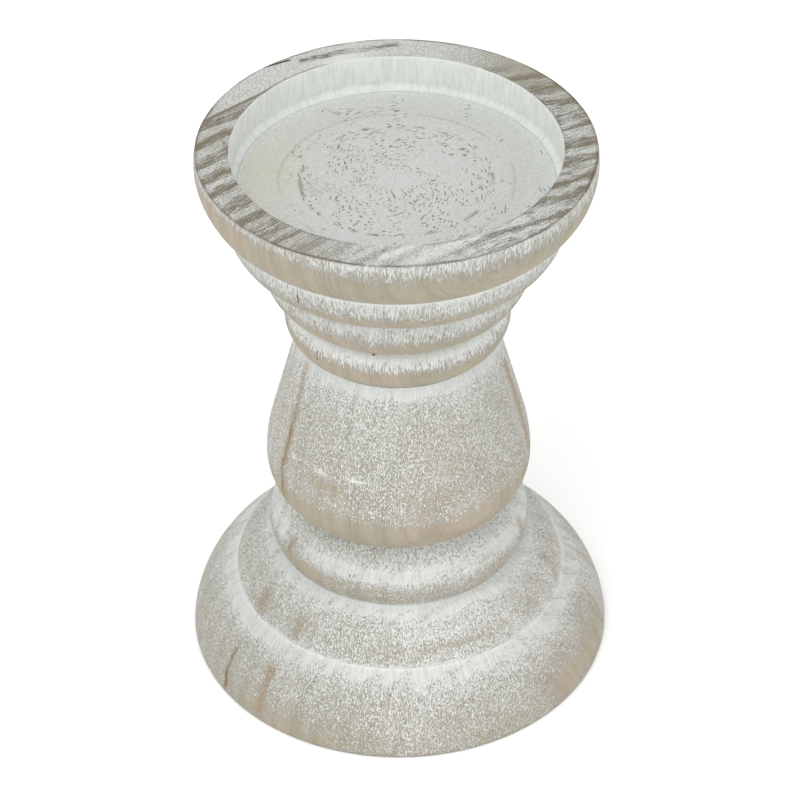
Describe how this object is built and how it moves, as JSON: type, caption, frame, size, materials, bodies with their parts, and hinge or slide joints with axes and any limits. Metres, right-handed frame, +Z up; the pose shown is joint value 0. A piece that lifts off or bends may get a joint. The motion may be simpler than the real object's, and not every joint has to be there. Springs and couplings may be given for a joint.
{
  "type": "candlestick",
  "caption": "Turned wooden pillar candlestick with a round recess, stepped bead tiers, a vase-shaped stem and a stepped foot.",
  "frame": {"origin": "on the turning axis, in the plane that the felt pads stand on", "axes": "+Z up along the turning axis, towards the candle recess"},
  "size_m": [0.1112, 0.1112, 0.152],
  "materials": {
    "whitewashed_wood": "worn whitewash over bare wood, matte",
    "dowel_wood": "plain beech, unfinished",
    "zinc": "zinc plated",
    "felt": "brown wool felt"
  },
  "bodies": {
    "root": {"candle_cup": "whitewashed_wood", "stem": "whitewashed_wood", "base": "whitewashed_wood", "joint_dowel": "dowel_wood", "base_screw": "zinc", "screw_washer": "zinc", "felt_pad_1": "felt", "felt_pad_2": "felt", "felt_pad_3": "felt", "felt_pad_4": "felt"}
  },
  "joints": []
}
